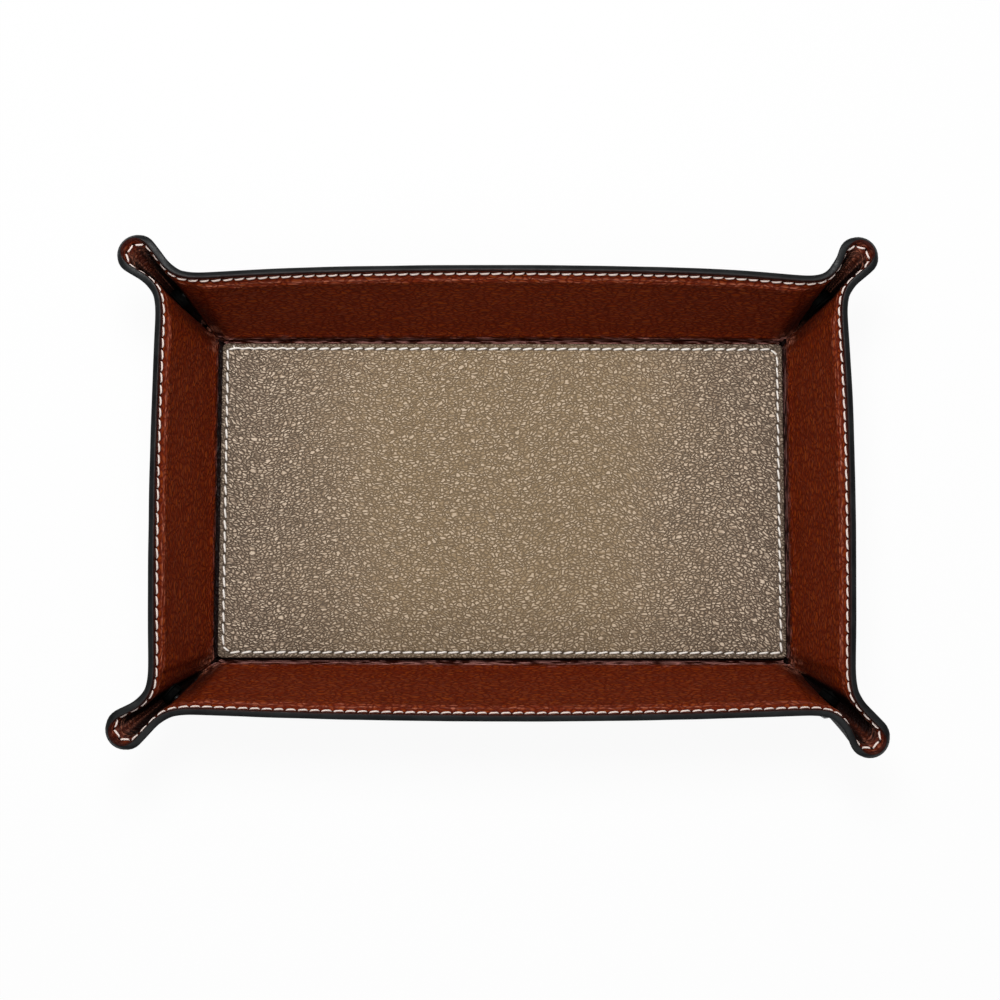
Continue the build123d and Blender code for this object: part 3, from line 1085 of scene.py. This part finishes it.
def liningPiece():
    points, seams = liningFace()
    normals = outwardNormals(points)
    # the floor and the fold round the panel start in full painted shade; the walls get theirs place by
    # place
    marks = {name: [[value] * len(columns) for _ in points]
             for name, value in (("paintedShade", 1.0), ("paintedHighlight", 0.0), ("pale", 0.0))}
    foldMarks(marks)
    for row in range(len(lining["padRows"]), len(points)):
        for at, column in enumerate(columns):
            share = 1 - seams[row][at] / column["slant"]
            spot = wallSpot(at, points[row][at], normals[row][at], share)
            folds = liningFolds(spot)
            points[row][at] = spot["point"] - spot["normal"] * liningRelief(spot, folds)
            for name, value in liningMarks(spot, folds).items():
                marks[name][row][at] = value
    bm = wrapGrid(points, seams=seams, marks=marks)
    fillBelow(bm, rimTop / 2)
    faceUp(bm, True)
    piece = finishPiece("lining", bm, liningLeather, ["inner_lining"])
    thicken(piece, tray["liningThickness"])


liningPiece()


# Outer cover: the sheet outside, which folds under at the crease and lies flat on the ground
cover = {
    "groundRows": (14.0, 3.0),
    "foldSteps": 5,
    "foldPitch": 0.3,        # from row to row round the fold, on the seam's map
    "rows": (0.0, 0.06, 0.14, 0.24, 0.34, 0.44, 0.54, 0.64, 0.74, 0.82),
    "rimRows": (4.6, 3.6, 2.9, 2.55, 2.3, 2.05, 1.7, 1.0, 0.0),
    "grooveDepth": 0.22,
    "grooveWidth": 0.5,
    "holeDepth": 0.2,
    "wave": 0.1,
    "waveLength": 15,
    "proud": 0.05,           # the waves stand out no further
}


def coverFace():
    # rows of the cover's outer face, from under the floor to the rim
    feet = wallLines([[share] * len(columns) for share in (0, 0.03)])[0]
    footNormals = outwardNormals(feet)[0]
    points, seams = [], []
    for inset in cover["groundRows"]:
        half = footHalf - Vector((inset, inset))
        spots = [nearestOnPlate(column["foot"], half, 0) for column in columns]
        points.append([spot.to_3d() for spot in spots])
        seams.append([column["slant"] + inset for column in columns])
    for step in range(cover["foldSteps"], 0, -1):
        turned = [normal.lerp(Vector((0, 0, -1)), step / cover["foldSteps"]) for normal in footNormals]
        points.append([place + normal.normalized() * leather for place, normal in zip(feet[0], turned)])
        seams.append([column["slant"] + step * cover["foldPitch"] for column in columns])
    shares = [[row] * len(columns) for row in cover["rows"]]
    shares += [[1 - row / column["slant"] for column in columns] for row in cover["rimRows"]]
    walls, wallSeams = wallLines(shares)
    for line, normals in zip(walls, outwardNormals(walls)):
        points.append([place + normal * leather for place, normal in zip(line, normals)])
    return points, seams + wallSeams


def coverPiece():
    outer, seams = coverFace()
    normals = outwardNormals(outer)
    for row in range(len(cover["groundRows"]) + cover["foldSteps"], len(outer)):
        for at, place in enumerate(outer[row]):
            depth = pressed(at, seams[row][at], cover)
            depth += cover["wave"] * noise.noise(place / cover["waveLength"])
            outer[row][at] = place - normals[row][at] * max(depth, -cover["proud"])
    bm = wrapGrid(outer, seams=seams)
    fillBelow(bm, rimTop / 2)
    faceUp(bm, False)
    piece = finishPiece("cover", bm, coverLeather, ["outer_cover"])
    thicken(piece, tray["coverThickness"])


coverPiece()


# Edge paint: a domed black bead burnished over the cut edges of both leathers
bead = {
    "profileSteps": 12,
    "flatness": 0.7,         # below 1, the bead's sides are fuller than a circle's
    "overlap": 0.12,         # how far the paint laps over each face
    "crown": 0.4,
    "sunk": 0.45,
    "centre": -0.26,
    "tipFrom": (0.7, 0.95),
    "tipHalf": 0.75,         # the leather is pared thinner at the tip of an ear
    "tipRise": 0.75,
    "neckWider": 0.25,       # the paint is laid on thicker outside the necks
    "neckFrom": (0.05, 0.25),
    "neckUntil": (0.95, 0.5),
    "wobble": 0.04,
    "wobbleLength": 6,
}


def beadPiece():
    points = []
    places = [surfaceFrame(at, 0.0) for at in range(len(columns))]
    for step in range(bead["profileSteps"]):
        angle = 2 * math.pi * step / bead["profileSteps"]
        side = math.copysign(abs(math.cos(angle)) ** bead["flatness"], math.cos(angle))
        rise = math.sin(angle) * bead["crown" if math.sin(angle) > 0 else "sunk"]
        line = []
        for (place, outward, up), column in zip(places, columns):
            tip = smooth(*bead["tipFrom"], column["ear"])
            half = between(leather / 2 + bead["overlap"], bead["tipHalf"], tip)
            lift = bead["centre"] + rise * between(1, bead["tipRise"], tip)
            lift += bead["wobble"] * noise.noise(place / bead["wobbleLength"])
            neck = smooth(*bead["neckFrom"], column["ear"]) * smooth(*bead["neckUntil"], column["ear"])
            wider = bead["neckWider"] * neck * max(side, 0)
            line.append(place + outward * (leather / 2 + half * side + wider) + up * lift)
        points.append(line)
    bm = wrapGrid(points, closedRows=True)
    bmesh.ops.recalc_face_normals(bm, faces=bm.faces)
    finishPiece("edge_bead", bm, edgePaint)


beadPiece()


# Threads: each stitch is a short arch that dives into its needle holes
thread = {
    "width": 0.74,
    "thickness": 0.42,       # half of it, as a share of the width
    "blunt": 5,              # the higher, the blunter the ends of a stitch
    "fill": 0.9,             # of the way from hole to hole
    "lift": 0.24,            # how high the middle of a stitch stands
    "dive": 0.3,
    "slant": 8.0,            # degrees
    "around": 8,
    "alongSteps": 9,
    "widthRange": (0.92, 1.06),
    "rim": {"seed": 11, "slant": 2.5, "fillRange": (0.95, 1.02)},
    "panel": {"seed": 5, "slant": 3, "fillRange": (0.94, 1.02)},
    "followBow": 0.6,        # how far a stitch follows a wall that bows under it
    "sunk": (0.7, 1.4),      # inside and outside, as shares of the groove's depth
}


def stitchShape():
    # one stitch along x, its underside towards -z; a sphere drawn out into an arched capsule
    bm = bmesh.new()
    bm.loops.layers.uv.new("ply")
    around, steps = thread["around"], thread["alongSteps"]
    bmesh.ops.create_uvsphere(bm, u_segments=around, v_segments=steps, radius=1, calc_uvs=True)
    for vert in bm.verts:
        along = vert.co.z
        ring = math.sqrt(max(1 - along * along, 0))
        end = abs(along) ** thread["blunt"]
        fat = thread["width"] * math.sqrt(1 - end) / ring if ring > 0.001 else 0
        arch = between(thread["lift"], -thread["dive"], end)
        vert.co = Vector((along / 2, vert.co.y * fat / 2, vert.co.x * fat * thread["thickness"] + arch))
    bmesh.ops.recalc_face_normals(bm, faces=bm.faces)
    return meshFrom(bm, "stitchShape")


stitchMesh = stitchShape()


def addStitch(bm, first, second, upward, slant, fill, width):
    # a stitch between two needle holes on a face whose outward direction is given
    run = second - first
    along = run.normalized()
    across = upward.cross(along).normalized()
    turn = Matrix.Rotation(math.radians(slant), 4, "Z") @ Matrix.Diagonal((run.length * fill, width, 1, 1))
    axes = Matrix((along, across, along.cross(across))).transposed().to_4x4()
    before = len(bm.verts)
    bm.from_mesh(stitchMesh)
    bm.verts.ensure_lookup_table()
    place = Matrix.Translation((first + second) / 2) @ axes @ turn
    bmesh.ops.transform(bm, matrix=place, verts=bm.verts[before:])


def drawn(chance, row):
    # slant, length and width of one stitch, each a little uneven
    slant = thread["slant"] + chance.uniform(-row["slant"], row["slant"])
    fill = thread["fill"] * chance.uniform(*row["fillRange"])
    return slant, fill, chance.uniform(*thread["widthRange"])


def rimThreadPiece(name, material, depth, sink, facing):
    # one side of the row round the rim: the needle thread inside, and the bobbin thread outside
    chance = random.Random(thread["rim"]["seed"])
    bm = bmesh.new()
    step, inset = tray["columnsPerStitch"], tray["stitchInset"]
    for at in range(0, len(columns), step):
        first, second, middle = [surfaceFrame(at + shift, inset, depth) for shift in (0, step, step // 2)]
        upward = middle[1] * facing
        bow = (middle[0] - (first[0] + second[0]) / 2).dot(upward)
        drop = upward * (sink - bow * thread["followBow"])
        addStitch(bm, first[0] - drop, second[0] - drop, upward, *drawn(chance, thread["rim"]))
    finishPiece(name, bm, material)


sunkInside, sunkOutside = thread["sunk"]
rimThreadPiece("rim_thread", rimThreadMaterial, 0.0, lining["grooveDepth"] * sunkInside, -1)
rimThreadPiece("rim_bobbin_thread", bobbinMaterial, leather, cover["grooveDepth"] * sunkOutside, 1)


# Base panel: a separate plate of leather, stitched round, its edge turned down a little
panel = {
    "flatSize": (0.112, 0.2),
    "radius": 1.6,
    "inset": 1.9,
    "pitch": 4.06,
    "turnShort": 2.2,        # a slanted stitch crosses two of the corners this far from them
    "cornerSteps": 6,
    "reach": 4.0,
    # inset from the edge and height above the underside
    "rows": ((9.0, 0.0), (1.0, 0.0), (0.25, 0.05), (0.0, 0.3), (0.0, 0.85), (0.1, 1.12), (0.3, 1.28),
             (0.6, 1.36), (1.0, 1.38), (1.4, 1.33), (1.65, 1.26), (1.9, 1.21), (2.15, 1.27), (2.45, 1.35),
             (2.9, 1.4), (3.6, 1.4), (5.0, 1.39), (8.0, 1.38), (13.0, 1.37), (20.0, 1.37), (30.0, 1.37),
             (42.0, 1.37), (53.0, 1.37)),
    "topFrom": 1.0,          # higher rows lie on the upper face
    "seamRows": 1.5,         # rows this near to the stitches know their needle holes
    "seamWidth": 0.6,
    "holeDepth": 0.28,
    "holeWidth": 0.7,
    # painted shade in and around each needle hole: how dark, and how far it reaches
    "holeDark": 0.9,
    "holeReach": 0.55,
    "wave": 0.03,
    "waveLength": 14,
    "waveInset": 3,
    "threadSunk": 0.16,
    "overlap": (-97, -76),   # where the start and the end of the thread lie side by side on the back
    "overlapShift": (0.12, 0.1),
    "overlapStitch": (0.81, 0.95),   # how much of the way a stitch fills, and its width
    "looseEnd": ((-95.7, 54.2), (-96.2, 55.4)),
    "looseStitch": (0.9, 0.8),
}


def panelHoles():
    # needle holes anticlockwise from the front left corner, which one slanted stitch turns
    far, short, holes = panelHalf(panel["inset"]), panel["turnShort"], []
    sides = (
        (Vector((short - far.x, -far.y)), Vector((far.x, -far.y)), 0),
        (Vector((far.x, -far.y)), Vector((far.x, far.y - short)), 1),
    )
    for turn in (1, -1):
        for start, end, last in sides:
            count = round((end - start).length / panel["pitch"])
            holes += [start.lerp(end, step / count) * turn for step in range(count + last)]
    return holes


panelHoleList = panelHoles()


def panelColumns():
    # places just outside the panel, four to a stitch, with a few more round each corner
    spots, reach, radius = [], panel["reach"], panel["radius"]
    far, steps = panelHalf(-reach), tray["columnsPerStitch"]
    for first, second in zip(panelHoleList, panelHoleList[1:] + panelHoleList[:1]):
        if min(abs(first.x - second.x), abs(first.y - second.y)) > 0.01:
            continue
        axis = 1 if abs(first.y - second.y) < 0.01 else 0        # the one that leads off the panel
        for step in range(steps):
            point = first.lerp(second, step / steps)
            point[axis] = math.copysign(far[axis], point[axis])
            spots.append(point)
    arc = arcPoints(panelHalf(radius), Vector((1, 0)), Vector((0, 1)), radius + reach, panel["cornerSteps"])
    for signs in ((1, 1), (1, -1), (-1, 1), (-1, -1)):
        spots += [point * Vector(signs) for point in arc]
    spots.sort(key=lambda spot: math.atan2(spot.y, spot.x))
    return spots


def panelPiece():
    spots = panelColumns()
    points, seams, dark = [], [], []
    for inset, rise in panel["rows"]:
        line, shade = [], []
        onTop = rise > panel["topFrom"]
        nearSeam = hump(panel["inset"], panel["seamWidth"], inset) if onTop else 0
        knowsHoles = abs(inset - panel["inset"]) < panel["seamRows"]
        for spot in spots:
            edge = nearestOnPlate(spot, panelHalf(inset), max(panel["radius"] - inset, 0.01))
            away = min((edge - hole).length for hole in panelHoleList) if knowsHoles else math.inf
            height = rise
            if nearSeam > 0.05:
                height -= panel["holeDepth"] * nearSeam * hump(0, panel["holeWidth"], away)
            if inset > panel["waveInset"]:
                height -= panel["wave"] * abs(noise.noise(edge.to_3d() / panel["waveLength"]))
            # painted shade in the needle holes, on the upper face only
            shade.append(panel["holeDark"] * hump(0, panel["holeReach"], away) if onTop else 0)
            line.append(Vector((edge.x, edge.y, panelLow.z + height)))
        points.append(line)
        dark.append(shade)
        seams.append([inset if onTop else 0.0] * len(spots))
    bm = wrapGrid(points, seams=seams, marks={"paintedShade": dark})
    fillBelow(bm, rimTop)
    bmesh.ops.recalc_face_normals(bm, faces=bm.faces)
    piece = finishPiece("panel", bm, panelLeather, ["base_panel"])


panelPiece()


def panelThreadPiece():
    chance = random.Random(thread["panel"]["seed"])
    bm = bmesh.new()
    upward = Vector((0, 0, 1))
    height = panelHigh.z - panel["threadSunk"]
    holes = [Vector((hole.x, hole.y, height)) for hole in panelHoleList]
    pairs = list(zip(holes, holes[1:] + holes[:1]))
    for first, second in pairs:
        addStitch(bm, first, second, upward, *drawn(chance, thread["panel"]))
    low, high = panel["overlap"]
    shift = Vector((panel["pitch"] / 2, *panel["overlapShift"]))
    for first, second in pairs:
        if min(first.y, second.y) > 0 and low < first.x < high and abs(first.y - second.y) < 0.01:
            addStitch(bm, first + shift, second + shift, upward, -thread["slant"], *panel["overlapStitch"])
    end = [Vector((*spot, height)) for spot in panel["looseEnd"]]
    addStitch(bm, *end, upward, 0, *panel["looseStitch"])
    finishPiece("panel_thread", bm, panelThreadMaterial)


panelThreadPiece()


# Hidden pieces keep their CAD shape
for name, node in frame["nodes"].items():
    if name.endswith("_board") or name == "panel_backing":
        finish = fibreBoard
    elif name.startswith("stud_"):
        finish = capLacquer if name.startswith("stud_cap") else studShadedLacquer
    else:
        continue
    node.data.materials.clear()
    node.data.materials.append(finish)
print("CAD nodes dressed")


# Floor, light and camera
studio = {
    "floorSize": 6.0,
    "floorDrop": 0.05 * mm,
    "floorGlow": (0.93, 1.0),        # near the object, where the floor keeps its shadow, and far off
    "floorReach": (0.25, 1.2),
    "worldStrength": 0.18,
    "key": {"place": (-0.06, 0.3, 0.7), "size": 0.35, "power": 4.3},
    "fill": {"place": (0.0, -0.7, 1.2), "size": 1.0, "power": 3.8},
    "cameraPlace": (-0.78, -68.08, 666.59),
    "cameraTarget": (-0.78, -1.6, 20.0),
    "cameraRoll": 0.086,
    "lens": 67.46,
    "sensor": 36.0,
}


def floorPiece():
    paper = {"Base Color": (0.95, 0.95, 0.95), "Roughness": 0.9, "Specular IOR Level": 0.1}
    material, tree, shader = newMaterial("floorPaper", paper)
    path = put(tree, "LightPath").outputs
    seen = calc(tree, "MAXIMUM", path["Is Camera Ray"], path["Is Glossy Ray"])
    glow = put(tree, "Emission", {}, {"Color": (1, 1, 1), "Strength": 1.0})
    length = put(tree, "VectorMath", {"operation": "LENGTH"}, {0: objectPlace(tree)})
    away = length.outputs["Value"]
    share = product(tree, seen, remap(tree, away, *studio["floorReach"], *studio["floorGlow"]))
    mixed = put(tree, "MixShader", {}, {0: share, 1: shader.outputs[0], 2: glow.outputs[0]})
    connect(tree, tree.nodes["Material Output"], {0: mixed.outputs[0]})
    bm = bmesh.new()
    drop = Matrix.Translation((0, 0, -studio["floorDrop"]))
    bmesh.ops.create_grid(bm, x_segments=1, y_segments=1, size=studio["floorSize"] / 2, matrix=drop)
    mesh = meshFrom(bm, "floor")
    mesh.materials.append(material)
    addObject("floor", mesh)


def addLight(name):
    data = bpy.data.lights.new(name, "AREA")
    data.size, data.energy = studio[name]["size"], studio[name]["power"]
    light, place = addObject(name, data), Vector(studio[name]["place"])
    light.location = place
    light.rotation_euler = (-place).to_track_quat("-Z", "Y").to_euler()


def worldLight():
    world = bpy.data.worlds.new("studio")
    bpy.context.scene.world = world
    world.use_nodes = True
    tree = world.node_tree
    seen = put(tree, "LightPath").outputs["Is Camera Ray"]
    strength = remap(tree, seen, 0.0, 1.0, studio["worldStrength"], 1.0)
    connect(tree, tree.nodes["Background"], {"Color": (1, 1, 1), "Strength": strength})


def addCamera():
    data = bpy.data.cameras.new("camera")
    data.lens, data.sensor_width = studio["lens"], studio["sensor"]
    data.clip_start = 0.01
    camera = addObject("camera", data)
    place, target = Vector(studio["cameraPlace"]) * mm, Vector(studio["cameraTarget"]) * mm
    look = (target - place).to_track_quat("-Z", "Y").to_matrix().to_4x4()
    camera.location = place
    camera.rotation_euler = (look @ Matrix.Rotation(math.radians(studio["cameraRoll"]), 4, "Z")).to_euler()
    bpy.context.scene.camera = camera


floorPiece()
addLight("key")
addLight("fill")
worldLight()
addCamera()
bpy.context.scene.view_settings.view_transform = "Standard"
print("studio ready")
